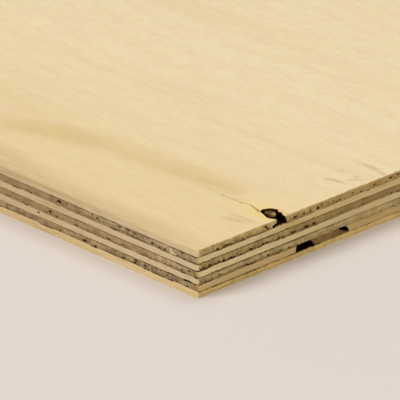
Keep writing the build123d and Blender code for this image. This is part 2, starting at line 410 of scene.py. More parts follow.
def triangulate(ring, inner):
    # Delaunay triangulation of a closed ring and the points inside it, with the ring's edges kept
    made = delaunay_2d_cdt([Vector(p) for p in np.vstack([ring, inner]).tolist()], [],
                           [list(range(len(ring)))], 1, 1e-5)
    origin = np.array([ids[0] if ids else -1 for ids in made[3]])
    triangles = origin[np.array(made[2])]
    return triangles[(triangles >= 0).all(1)]


# The map that a piece is baked through. The edge is what shows of an inner veneer, so it gets most
# of the room, as strips above each other. The outer surfaces have more room near the knots.
bakeMap = {"name": "OFBake", "edge": 0.85, "edgeUnderFace": 0.44, "hiddenFace": 0.08, "margin": 0.06,
           "hiddenEdge": 0.3, "crowding": 6.0, "border": 0.005, "gap": 0.01, "stripLength": 0.95}


def edgePlaces(outline, rows, thickness, room):
    # The edge unrolled: a column lies at the sum of sqrt(spacing) up to it, cut into strips of
    # equal length, which are about as many as make the picture's scale the same both ways
    m = bakeMap
    gaps = np.linalg.norm(np.roll(outline["xy"], -1, 0) - outline["xy"], axis=1)
    total = np.cumsum(np.sqrt(gaps) * np.where(outline["kind"] == "hidden", m["hiddenEdge"], 1))
    strips = max(2, round(math.sqrt(room * gaps.sum() / thickness)))
    along = np.concatenate([[0], total]) / total[-1] * strips
    strip = np.floor(along[:-1])
    start, stop = along[:-1] - strip, along[1:] - strip
    height = m["margin"] + (1 - 2 * m["margin"]) * rows
    across = np.stack([start, stop, stop, start], 1)[:, None] + 0 * height[:-1, None]
    up = strip[:, None, None] + np.stack([height[:-1], height[:-1], height[1:], height[1:]], 1)
    return np.stack([m["gap"] + m["stripLength"] * across, up / strips * room], -1).reshape(-1, 2)


def flatPlaces(xy, lowCorner, highCorner, crowding):
    # the share s of the piece's length or width, from the knotty corner, in a rectangle of the
    # picture. Crowding c moves it to log(1 + c s) / log(1 + c)
    share = (xy - xy.min(0)) / np.ptp(xy, axis=0)
    share[:, 0] = 1 - share[:, 0]
    share = np.log1p(crowding * share) / math.log1p(crowding) if crowding else share
    return lowCorner + share * np.subtract(highCorner, lowCorner)


def mapPlaces(outline, rows, thickness, points, surfaces, outer):
    # places in the picture for every corner of the edge's quads and of the two surfaces. Two
    # hidden surfaces lie side by side over the edge. Under an outer one the hidden one is a strip
    m = bakeMap
    room = m["edge"] if outer is None else m["edgeUnderFace"]
    border, low, strip = m["border"], room + m["gap"], room + m["hiddenFace"]
    places = [edgePlaces(outline, rows, thickness, room)]
    for side, triangles in zip(("below", "above"), surfaces):
        if outer is None:
            left = border if side == "below" else 0.5 + border
            flat = flatPlaces(points[:, :2], (left, low), (left + 0.5 - 2 * border, 1 - border), 0)
        elif side == outer:
            flat = flatPlaces(points[:, :2], (border, strip), (1 - border, 1 - border), m["crowding"])
        else:
            flat = flatPlaces(points[:, :2], (border, low), (1 - border, strip - m["gap"]), 0)
        places.append(flat[triangles.ravel()])
    return np.vstack(places)


def addObject(name, data):
    made = bpy.data.objects.new(name, data)
    bpy.context.scene.collection.objects.link(made)
    return made


def closedMesh(name, outline, low, high, depth, dark, caps, looks, lookOf,
               warp=None, rows=meshing["rows"], outer=None):
    # A closed piece of veneer. Its edge is a grid with a column at each point of the outline, from
    # low to high, pushed in by depth and painted as dark as dark says, which is mostly painted shade.
    # Each cap is (inner points, their heights, how dark the rim is, how dark the inner points are),
    # where the darkness is painted shade in open glue lines and holes. warp moves points by their x, y
    # and share of the height, and outer is the cap that is an outer surface of the sheet
    rows, count, levels = np.array(rows), len(low), len(rows)
    z = rowHeights(low, high, rows)
    xy = outline["xy"][:, None, :] - outline["out"][:, None, :] * depth[:, :, None]
    xy = xy if warp is None else warp(xy, rows + 0 * z)
    points = [np.concatenate([xy, z[:, :, None]], 2).reshape(-1, 3)]
    column, cell = np.arange(count)[:, None], np.arange(levels - 1)
    after = (column + 1) % count
    quads = np.stack([column * levels + cell, after * levels + cell,
                      after * levels + cell + 1, column * levels + cell + 1], -1).reshape(-1, 4)
    darkAt, surfaces, made = [dark.ravel()[quads.ravel()]], [], count * levels
    for level, (inner, heights, rimDark, innerDark) in zip((0, levels - 1), caps):
        inner = inner if warp is None else warp(inner, rows[level] + 0 * inner[:, 0])
        triangles = triangulate(xy[:, level], inner)
        triangles = triangles[:, ::-1] if level == 0 else triangles
        darkAt.append(np.concatenate([rimDark, innerDark])[triangles.ravel()])
        used = np.unique(triangles[triangles >= count])
        placeOf = np.concatenate([np.arange(count) * levels + level, np.zeros(len(inner), int)])
        placeOf[used] = made + np.arange(len(used))
        points.append(np.column_stack([inner, heights])[used - count])
        made += len(used)
        surfaces.append(placeOf[triangles])
    points, triangles = np.vstack(points), np.vstack(surfaces)
    mapped = mapPlaces(outline, rows, (high - low).mean(), points, surfaces, outer)
    edgeLook = np.array([lookOf[kind] for kind in outline["kind"]])[:, None] + 0 * cell
    edgeLook = np.where(heldFibres(outline, z[:, :-1]) & (edgeLook == 1), 0, edgeLook).ravel()
    capLook = np.repeat([lookOf["below"], lookOf["above"]], [len(s) for s in surfaces])
    mesh = bpy.data.meshes.new(name)
    corners = np.concatenate([quads.ravel(), triangles.ravel()])
    sizes = np.repeat([4, 3], [len(quads), len(triangles)])
    mesh.vertices.add(len(points))
    mesh.vertices.foreach_set("co", (points * mm).astype(np.float32).ravel())
    mesh.loops.add(len(corners))
    mesh.loops.foreach_set("vertex_index", corners.astype(np.int32))
    mesh.polygons.add(len(sizes))
    mesh.polygons.foreach_set("loop_start", (np.cumsum(sizes) - sizes).astype(np.int32))
    for material in looks:
        mesh.materials.append(material)
    mesh.polygons.foreach_set("material_index", np.concatenate([edgeLook, capLook]).astype(np.int32))
    mesh.polygons.foreach_set("use_smooth", sizes == 4)
    darkness = mesh.attributes.new("dark", "FLOAT", "CORNER")
    darkness.data.foreach_set("value", np.concatenate(darkAt).astype(np.float32))
    mesh.uv_layers.new(name=bakeMap["name"]).data.foreach_set("uv", mapped.astype(np.float32).ravel())
    mesh.update(calc_edges=True)
    print(name, len(points), "points,", 2 * len(quads) + len(triangles), "triangles")
    return addObject(name, mesh)


def veneer(name, node, grain, seed, looks, outline, shapeLow=None, shapeHigh=None, warp=None,
           shadeBelow=None, shadeAbove=None, extra=None, torn=1.0):
    # one veneer of the sheet between its two glue lines. torn says how coarse its end grain is
    index = veneers.index(node.removesuffix("_strip"))
    xy = outline["xy"]
    gapBelow, gapAbove = glueGap(7 - index, outline, 0, warp), glueGap(6 - index, outline, 1, warp)
    low = glueHeights[index] + glueWave(7 - index, xy)
    high = glueHeights[index + 1] + glueWave(6 - index, xy) - gapAbove
    low = low if shapeLow is None else shapeLow(low, outline)
    high = high if shapeHigh is None else shapeHigh(high, xy)
    rows = meshing["rows"] if index < 6 else faceArris["rows"]
    heights = rowHeights(low, high, rows)
    depth, dark = sawnRelief(outline, heights, "end" if grain == "x" else "side", seed,
                              (index > 0, index < 6), torn, warp)
    if index == 6:
        depth = depth + arrisRound(outline, high[:, None] - heights)
    if index == 0:
        depth = depth + raggedFoot(outline, heights, low)
    inner = innerPoints(xy[:, 0].min(), xy[:, 0].max())
    inner = inner if extra is None else np.vstack([inner, extra])
    flat = 0 * inner[:, 0]
    # the caps' rims are painted dark as shade where a glue line stands open, and inside a hole the ovals of
    # painted shade darken them
    capShades = []
    for paintedShade, gap in ((shadeBelow, gapBelow), (shadeAbove, gapAbove)):
        rimDark, innerDark = above(gap, 0.02, 0.12), flat
        if paintedShade is not None:
            rimDark, innerDark = np.maximum(rimDark, paintedShade(xy)), paintedShade(inner)
        capShades.append((rimDark, innerDark))
    top = flat + glueHeights[index + 1]
    top = top if shapeHigh is None else shapeHigh(top, inner)
    caps = [(inner, flat + glueHeights[index], *capShades[0]), (inner, top, *capShades[1])]
    lookOf = {"side": 0 if grain == "x" else 1, "end": 1 if grain == "x" else 0, "hole": 2, "crack": 0,
              "hidden": 0, "below": 3 if index == 0 else 0, "above": 3 if index == 6 else 0}
    outer = {0: "below", 6: "above"}.get(index)
    piece = closedMesh(name, outline, low, high, depth, dark, caps, looks, lookOf, warp, rows, outer)
    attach(piece, "root")
    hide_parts(node)


# The face's upper edge is worn round, and the back's lower one is splintered by the saw.
faceArris = {"radius": 0.34, "wear": 0.4, "wearLength": 3.5,
             "rows": [0, 0.03, 0.08, 0.17, 0.29, 0.42, 0.55, 0.67, 0.77, 0.85, 0.91, 0.95, 0.982, 1]}
backFoot = {"chip": 0.3, "chipLength": 4.2, "splinter": 0.3, "splinterLength": 0.9, "reach": 1.1}


def arrisRound(outline, fromTop):
    # a quarter circle of radius r, which wears between places: r - sqrt(r^2 - (r - d)^2) at depth d
    f, along = faceArris, outline["along"]
    r = f["radius"] + f["wear"] * above(wavy(along, f["wearLength"], 31, 3), 0.45, 0.85)
    r = np.where(np.isin(outline["kind"], ["side", "end"]), r, 0.12)[:, None]
    left = np.clip(r - fromTop, 0, None)
    return r - np.sqrt(r ** 2 - left ** 2)


def chips(outline):
    # height of the chips along the lower edge of the back: long ones, with finer ones inside them
    b, along = backFoot, outline["along"]
    long = above(wavy(along, b["chipLength"], 32, 2), 0.3, 0.8)
    return b["chip"] * long * (0.45 + 0.9 * wavy(along, b["splinterLength"], 33, 2))


def raggedFoot(outline, heights, low):
    # the foot stands back where a chip came off, and its splinters stand out again
    b = backFoot
    up = above(b["reach"] - (heights - low[:, None]), 0, b["reach"])
    splinters = fractal(outline["along"][:, None] / b["splinterLength"], heights / 1.2, 34, 3)
    return b["splinter"] * up * splinters * (0.5 + low[:, None] * 2)


class Graph:
    # shorthand for building a material's nodes, in millimetres
    def __init__(self, name, gloss=0.08):
        self.material = bpy.data.materials.new(name)
        self.material.use_nodes = True
        self.nodes, self.links = self.material.node_tree.nodes, self.material.node_tree.links
        self.nodes.clear()
        self.shader = self.node("ShaderNodeBsdfPrincipled", {"Specular IOR Level": gloss})
        output = self.node("ShaderNodeOutputMaterial")
        self.links.new(self.shader.outputs[0], output.inputs["Surface"])

    def node(self, kind, inputs=(), **settings):
        made = self.nodes.new(kind)
        for key, value in settings.items():
            setattr(made, key, value)
        for key, value in dict(inputs).items():
            if isinstance(value, bpy.types.NodeSocket):
                self.links.new(value, made.inputs[key])
            else:
                made.inputs[key].default_value = value
        return made

    def math(self, operation, a, b=0.0):
        return self.node("ShaderNodeMath", {0: a, 1: b}, operation=operation).outputs[0]

    def times(self, a, b):
        return self.math("MULTIPLY", a, b)

    def plus(self, a, b):
        return self.math("ADD", a, b)

    def place(self, cell=(1, 1, 1), shift=(0, 0, 0)):
        # object coordinates from the knotty corner, in cells of so many millimetres
        coordinates = self.node("ShaderNodeTexCoord").outputs["Object"]
        start = (endX, sideY, 0)
        return self.node("ShaderNodeMapping", {
            "Vector": coordinates, "Scale": [1 / (mm * c) for c in cell],
            "Location": [s - o / c for s, o, c in zip(shift, start, cell)]}).outputs[0]

    def split(self, vector):
        return list(self.node("ShaderNodeSeparateXYZ", {0: vector}).outputs)

    def join(self, x, y, z=0.0):
        return self.node("ShaderNodeCombineXYZ", {0: x, 1: y, 2: z}).outputs[0]

    def add(self, a, b):
        return self.node("ShaderNodeVectorMath", {0: a, 1: b}, operation="ADD").outputs[0]

    def length(self, vector):
        return self.node("ShaderNodeVectorMath", {0: vector}, operation="LENGTH").outputs["Value"]

    def noise(self, vector, detail=3.0, roughness=0.55, distortion=0.0):
        return self.node("ShaderNodeTexNoise", {
            "Vector": vector, "Scale": 1.0, "Detail": detail, "Roughness": roughness,
            "Distortion": distortion}).outputs[0]

    def between(self, value, low, high, result=1.0, kind="SMOOTHSTEP"):
        # 0 at low and the result at high, smooth and clamped. low over high turns it round
        return self.node("ShaderNodeMapRange", {0: value, 1: low, 2: high, 4: result},
                         interpolation_type=kind).outputs[0]

    def curve(self, value, places, longest, highest):
        # a smooth line through given places (value, result)
        node = self.node("ShaderNodeFloatCurve", {"Value": self.between(value, 0, longest, 1, "LINEAR")})
        points = node.mapping.curves[0].points
        points[0].location, points[1].location = (0, places[0][1] / highest), (1, places[-1][1] / highest)
        for at, result in places[1:-1]:
            points.new(at / longest, result / highest)
        node.mapping.update()
        return self.times(node.outputs[0], highest)

    def swing(self, noise, size):
        # noise round zero, of so many millimetres from end to end
        return self.times(self.plus(noise, -0.5), size)

    def mix(self, factor, a, b):
        return self.node("ShaderNodeMix", {0: factor, 6: a, 7: b}, data_type="RGBA").outputs[2]

    def blend(self, a, b, value, low, high, most=1.0):
        # from colour a to colour b, or most of the way, as a value goes from low to high
        return self.mix(self.between(value, low, high, most), a, b)

    def oval(self, vector, u, v, halfLength, halfWidth, turn, soft=0.5):
        # 1 inside an oval spot of the sheet, 0 outside it
        local = self.node("ShaderNodeMapping", {
            "Vector": vector, "Location": (-u, v, 0), "Rotation": (0, 0, math.radians(turn)),
            "Scale": (halfLength, halfWidth, 1e6)}, vector_type="TEXTURE").outputs[0]
        return self.between(self.length(local), 1 + soft, 1 - soft)

    def finish(self, colour, roughness, height, distance):
        self.links.new(colour, self.shader.inputs["Base Color"])
        self.shader.inputs["Roughness"].default_value = roughness
        bump = self.node("ShaderNodeBump", {"Height": height, "Distance": distance * mm, "Strength": 1.0})
        self.links.new(bump.outputs[0], self.shader.inputs["Normal"])
        return self.material


def srgb(red, green, blue):
    # an eight-bit colour as the light values that Blender works with
    def light(c):
        return c / 255 / 12.92 if c <= 10 else ((c / 255 + 0.055) / 1.055) ** 2.4
    return (light(red), light(green), light(blue), 1)


sawnWood = {
    # gap and pit are the colours of painted shade in open glue lines, pits and holes
    "streak": srgb(184, 152, 108), "speck": srgb(66, 40, 14), "gap": srgb(92, 58, 16),
    "pit": srgb(20, 8, 1), "glue": srgb(112, 84, 44), "resin": srgb(190, 148, 78),
    "worn": srgb(206, 170, 104), "compressed": srgb(216, 192, 154), "grime": srgb(176, 144, 96),
    # along the grain: pale, deep. Across it: fibre ends, body, shade, how much of it is dark pores,
    # and how much duller it gets farther from the corner
    "longLight": (srgb(231, 210, 173), srgb(212, 186, 145)),
    "longMiddle": (srgb(241, 223, 182), srgb(210, 185, 139)),
    "longSecond": (srgb(238, 220, 177), srgb(208, 181, 132)),
    "longTan": (srgb(217, 190, 145), srgb(195, 165, 117)),
    "longGold": (srgb(246, 222, 175), srgb(224, 196, 144)),
    "endFace": (srgb(232, 204, 148), srgb(210, 179, 121), srgb(166, 135, 87), 0.45, 0.6),
    "endSecond": (srgb(222, 199, 161), srgb(186, 161, 122), srgb(142, 116, 80), 0.5, 0.45),
    "endThird": (srgb(217, 193, 141), srgb(187, 161, 111), srgb(150, 124, 80), 0.9, 0.72),
    "endMiddle": (srgb(226, 202, 160), srgb(198, 171, 129), srgb(154, 126, 86), 0.5, 0.65),
    "endFifth": (srgb(224, 202, 155), srgb(198, 174, 127), srgb(164, 141, 97), 0.7, 0.0),
    "endSixth": (srgb(228, 206, 164), srgb(184, 156, 112), srgb(120, 94, 60), 0.6, 0.2),
    "endBack": (srgb(238, 210, 149), srgb(225, 193, 130), srgb(205, 170, 107), 0.05, 0.0),
}


def darkened(g, colour):
    # the dark attribute turns wood brown first, and then nearly black: it is painted shade in pits, checks,
    # gaps and holes, and partly the dark of the glue in the glue lines
    dark = g.node("ShaderNodeAttribute", attribute_name="dark").outputs["Fac"]
    colour = g.blend(colour, sawnWood["gap"], dark, 0, 0.75)
    return g.blend(colour, sawnWood["pit"], dark, 0.35, 1.05)


def fromEdge(g):
    # distance from the sheet's upright corner at the knots
    return g.length(g.join(*g.split(g.place())[:2]))


def cells(axis, along, across, upright=None):
    # sizes of a noise's cells: along an axis, across it, and upright
    sizes = [across, across, across if upright is None else upright]
    sizes[axis] = along
    return sizes


def wornCorner(g, colour, strength):
    # the very corner is handled and golden
    ragged = g.swing(g.noise(g.place([0.9, 0.9, 0.7])), 3.0)
    return g.blend(colour, sawnWood["worn"], g.plus(fromEdge(g), ragged), 1.6, 0.2, strength)


# widths of the dark bands beside the glue lines, above a veneer's lower line and below its upper
# one, first where it is sawn along its grain and then where it is sawn across
glueBands = {
    "face": (0, 0, 0, 0), "second": (0.28, 0.3, 0, 0.3), "third": (0, 0.35, 0, 0.2),
    "middle": (0.15, 0.4, 0, 0.3), "fifth": (0.12, 0.35, 0, 0.5), "sixth": (0, 0.42, 0, 0.2),
    "back": (0, 0, 0, 0.5),
}


def glueEdges(g, colour, z, low, high):
    # wood is dark beside a glue line, in a ragged band that fades in places and away from the corner
    pitch = glueHeights[2] - glueHeights[1]
    up = g.times(g.math("FRACT", g.times(g.plus(z, -glueHeights[1]), 1 / pitch)), pitch)
    down = g.plus(g.times(up, -1), pitch)
    ragged = g.noise(g.place([1.8, 1.8, 0.9], (7, 3, 1)), 4, 0.65)
    there = g.plus(g.between(g.noise(g.place([9.0, 9.0, 1.3], (1, 8, 4)), 2), 0.36, 0.56, 0.55), 0.35)
    there = g.times(there, g.plus(g.between(fromEdge(g), 95, 45, 0.65), 0.35))
    for far, width in ((up, low), (down, high)):
        if width:
            edge = g.plus(far, g.swing(ragged, -3.2 * width))
            band = g.times(g.between(edge, 1.5 * width, 0.5 * width), there)
            colour = g.mix(band, colour, sawnWood["glue"])
    return colour


def slantedLines(g, along, z, wobble):
    # fine lines that lean like the end of the strip at the joint
    line = g.math("SINE", g.plus(g.times(along, -5.2), g.plus(g.times(z, 5.0), g.times(wobble, 5.0))))
    return g.between(line, 0.4, 1.0, 0.6)


def longGrainMaterial(name, axis, colours, seed, bands, resinAt=None, creased=False):
    # sawn along the grain: long pale fibres, slow changes of tone, a few thin brown streaks
    g = Graph(name, 0.02)
    pale, deep = sawnWood[colours]
    x, y, z = g.split(g.place())
    fine = cells(axis, 7.0, 0.17)
    fibres = g.noise(g.place(fine, (seed, 0, 0)), 4)
    stripes = g.noise(g.place(cells(axis, 22.0, 0.5), (0, seed, 4)), 3)
    tone = g.noise(g.place(cells(axis, 60.0, 7.0), (3, 5, seed)), 2)
    colour = g.blend(deep, pale, fibres, 0.32, 0.66)
    colour = g.blend(colour, deep, stripes, 0.42, 0.66, 0.35)
    colour = g.blend(colour, deep, tone, 0.4, 0.7, 0.4)
    if resinAt is not None:
        resin = g.between(g.math("ABSOLUTE", g.plus(y, -resinAt)), 13, 2)
        colour = g.mix(g.times(resin, g.between(stripes, 0.3, 0.6, 0.85)), colour, sawnWood["resin"])
    # deeper in tone farther from the corner
    far = g.blend(deep, pale, fibres, 0.34, 0.64, 0.35)
    far = g.blend(far, sawnWood["streak"], stripes, 0.4, 0.68, 0.36)
    colour = g.blend(colour, far, fromEdge(g), *((5, 80) if axis else (27, 89)), 0.9)
    streak = g.between(g.noise(g.place([2.4 * c for c in fine], (9, 2, seed)), 2), 0.63, 0.72, 0.4)
    colour = g.mix(streak, colour, sawnWood["streak"])
    colour = glueEdges(g, colour, z, *bands)
    if creased:
        # the ridge in the joint is squeezed and shows slanted lines
        creases = g.times(slantedLines(g, g.times(x, -1), z, stripes),
                          g.between(z, glueHeights[5] + 0.2, glueHeights[5] + 0.8))
        colour = g.mix(creases, colour, sawnWood["streak"])
    if axis == 0:
        # hands left grime along the upper arris
        down = g.plus(g.plus(g.times(z, -1), glueHeights[7]), g.swing(stripes, -0.8))
        grime = g.times(g.between(down, 1.4, 0.05), g.between(x, -4, -80, 0.4))
        colour = g.mix(g.plus(grime, g.between(down, 0.6, 0.05, 0.18)), colour, sawnWood["grime"])
    colour = wornCorner(g, colour, 0.6 * axis)
    colour = darkened(g, colour)
    return g.finish(colour, 0.7, g.plus(fibres, g.times(stripes, 0.5)), 0.1)


def endGrainMaterial(name, axis, colours, seed, bands, palerAt=None):
    # sawn across the grain: light fibre ends with dark pores, which are closer together low in the
    # veneer, near the corner and in some stretches. Low down they run together into upright
    # teeth. There are patches of shade and faint level growth lines too
    g = Graph(name, 0.02)
    fibreEnd, body, shade, pores, dull = sawnWood[colours]
    x, y, z = g.split(g.place())
    share = g.math("FRACT", g.times(g.plus(z, -glueHeights[1]), 1 / (glueHeights[2] - glueHeights[1])))
    away = fromEdge(g)
    stretches = g.noise(g.place([14.0, 14.0, 2.6], (2, seed, 1)), 2)
    crowd = g.plus(g.between(share, 0.6, 0.02, 0.08), g.times(stretches, 0.36))
    crowd = g.plus(crowd, g.between(away, 75, 20, 0.05))
    pore = g.noise(g.place(cells(axis, 5.0, 0.42, 0.55), (0, 0, seed)), 3, 0.6)
    specks = g.between(g.plus(pore, crowd), 0.74, 0.88)
    tooth = g.noise(g.place(cells(axis, 5.0, 0.5, 2.4), (seed, 3, 0)), 2)
    teeth = g.times(g.between(g.plus(tooth, crowd), 0.76, 0.86), g.between(share, 0.34, 0.08))
    fibres = g.noise(g.place(cells(axis, 3.0, 0.3), (4, seed, 7)), 3)
    tone = g.noise(g.place(cells(axis, 20.0, 4.5), (seed, 8, 5)), 2)
    bars = g.noise(g.place(cells(axis, 6.0, 0.8, 5.0), (seed, 1, 9)), 3)
    rings = g.noise(g.place([11.0, 11.0, 0.5], (6, seed, 2)), 2, 0.5, 0.3)
    colour = g.blend(body, fibreEnd, fibres, 0.42, 0.64)
    colour = g.blend(colour, shade, tone, 0.42, 0.62, 0.6)
    colour = g.blend(colour, shade, bars, 0.45, 0.68, 0.45)
    colour = g.blend(colour, shade, rings, 0.5, 0.66, 0.35)
    patches = g.noise(g.place(cells(axis, 5.0, 0.8, 0.9), (seed, 6, 6)), 3)
    colour = g.mix(g.times(g.between(patches, 0.53, 0.66), g.between(away, 60, 15, 0.7)), colour, fibreEnd)
    if dull:
        colour = g.blend(colour, shade, away, 30, 75, dull)
    if palerAt is not None:
        # beside the joint or the hole it was pressed: paler, with fine slanted lines, in a zone
        # that can be narrower higher up
        along, (middle, halfWidth, lean) = (g.times(x, -1) if axis else y), palerAt
        uneven = g.swing(tone, 0.6 * halfWidth)
        off = g.plus(g.math("ABSOLUTE", g.plus(along, -middle)), uneven)
        paler = g.between(g.plus(off, g.times(share, lean)), halfWidth, 0.2 * halfWidth, 0.85)
        colour = g.mix(paler, colour, sawnWood["compressed"])
        colour = g.mix(g.times(paler, slantedLines(g, along, z, bars)), colour, shade)
    colour = glueEdges(g, colour, z, *bands)
    marks = g.times(g.math("MAXIMUM", specks, teeth), g.plus(g.between(away, 70, 25, 0.6), 0.4))
    colour = g.mix(g.times(marks, min(1, 0.95 * pores)), colour, sawnWood["speck"])
    colour = wornCorner(g, colour, 0.35)
    colour = darkened(g, colour)
    return g.finish(colour, 0.85, g.plus(fibres, g.times(marks, -0.9)), 0.16)


def holeMaterial():
    # the wall of a knot hole, painted nearly black as shade inside the hole
    g = Graph("knot_hole_wall", 0)
    tone = g.noise(g.place([0.6] * 3), 3)
    colour = g.blend(srgb(12, 6, 2), srgb(40, 24, 10), tone, 0.42, 0.7)
    z, top = g.split(g.place())[2], glueHeights[7]
    # towards the face it turns paler brown, where the painted shade lets up
    colour = g.blend(colour, srgb(112, 80, 36), g.plus(z, tone), top - 0.3, top + 0.5, 0.8)
    return g.finish(colour, 0.6, tone, 0.2)


def knotMaterial(name, u, v, core, rim, cell, streak):
    # a knot: rings round its own middle, fine streaks along it, darker towards its rim
    g = Graph(name)
    x, y = g.split(g.place())[:2]
    dx, dy = g.plus(x, u), g.plus(y, -v)
    wobble = g.noise(g.place([2.2, 2.2, 4.0]), 3)
    far = g.math("SQRT", g.plus(g.times(dx, dx), g.times(dy, dy)))
    rings = g.math("SINE", g.plus(g.times(far, 6.3 / cell), g.times(wobble, 9.0)))
    grain = g.noise(g.place(streak), 3)
    colour = g.blend(core, rim, far, 0.3 * cell, 2.4 * cell, 0.85)
    colour = g.blend(colour, rim, rings, -0.6, 1.0, 0.4)
    colour = g.blend(colour, rim, grain, 0.42, 0.66, 0.5)
    colour = darkened(g, colour)
    return g.finish(colour, 0.55, g.plus(grain, g.times(rings, 0.15)), 0.12)


# Middle of the crack as u, v.
crackLine = [(9.0, 39.6), (11.2, 39.85), (13.4, 40.5), (15.6, 40.95), (17.4, 40.9), (19.4, 40.35),
             (22.6, 40.25), (26.0, 40.0)]

# The face is a pale peeled veneer, sanded, with faint bands along the grain. It gets warmer
# towards the side next to the knots. Marks are u, v, half length, half width, turn, strength.
faceFinish = {
    "pale": srgb(240, 222, 188), "warm": srgb(233, 209, 165), "band": srgb(222, 194, 147),
    "fleck": srgb(186, 152, 104), "streak": srgb(206, 171, 102), "olive": srgb(236, 224, 172),
    "rose": srgb(232, 205, 174), "dirt": srgb(176, 148, 108), "halo": srgb(243, 219, 158),
    "rim": srgb(240, 208, 116), "red": srgb(226, 162, 92), "pitch": srgb(168, 118, 72),
    "smudge": srgb(190, 150, 92), "crack": srgb(146, 106, 40),
    "knot": (5.0, 41.4), "knotRadius": 3.6, "knotStretch": 3.4,
    # u and v of the golden streak's middle, and u and how strong it is there
    "streakPath": [(0, 48), (24, 47.6), (40, 46), (60, 43.5), (80, 42.3), (90, 40.8), (100, 38),
                   (110, 35.8), (120, 32.5), (130, 29), (150, 22), (200, 8)],
    "streakTone": [(0, 0), (20, 0.05), (32, 1), (46, 1), (62, 0.7), (84, 0.6), (98, 1), (115, 1.15),
                   (130, 0.75), (160, 0.3), (200, 0)],
    "pitchMarks": [(12.6, 76.6, 1.2, 0.8, 60, 0.2), (10.4, 77.4, 2.6, 0.9, 5, 0.3),
                   (8.2, 77.8, 2.4, 0.9, 6, 0.16), (6.2, 82.6, 2.0, 0.9, 38, 0.24),
                   (7.2, 85.4, 1.2, 1.1, 0, 0.26), (4.4, 84.2, 1.8, 0.8, 20, 0.2),
                   (15.4, 95.2, 3.0, 1.0, 0, 0.18), (9.6, 95.3, 3.0, 1.4, -6, 0.28),
                   (4.6, 94.6, 3.4, 1.0, -10, 0.2), (14.9, 85.1, 2.0, 1.5, 0, 0.1),
                   (2.2, 93.8, 1.4, 0.9, 0, 0.24)],
    "smudges": [(9.6, 28.4, 4.2, 1.4, 12, 0.3), (13.4, 30.9, 3.0, 0.8, 14, 0.24),
                (7.7, 31.5, 4.0, 0.7, 2, 0.3), (14.0, 26.8, 2.8, 1.0, 10, 0.16)],
    # small dark knots of resin along the crack, and the stained wood at its mouth
    "beads": [(9.9, 39.75, 1.1, 0.45, -6, 0.8), (10.8, 39.6, 1.6, 0.5, -14, 0.6),
              (13.4, 40.4, 2.4, 0.5, -14, 0.3), (19.5, 39.9, 0.8, 0.3, 0, 0.5),
              (23.0, 40.2, 1.0, 0.32, -6, 0.6), (28.7, 40.1, 0.9, 0.34, 0, 0.5),
              (35.0, 40.6, 1.6, 0.4, 0, 0.2)],
    "yellow": [(3.6, 37.0, 4.4, 1.2, 9, 0.34), (8.0, 36.9, 3.8, 1.4, -8, 0.2),
               (13.0, 37.3, 4.6, 1.2, -3, 0.2)],
    "orange": [(1.4, 44.7, 2.0, 0.8, 22, 0.45), (4.8, 45.8, 1.5, 0.6, -12, 0.3)],
}


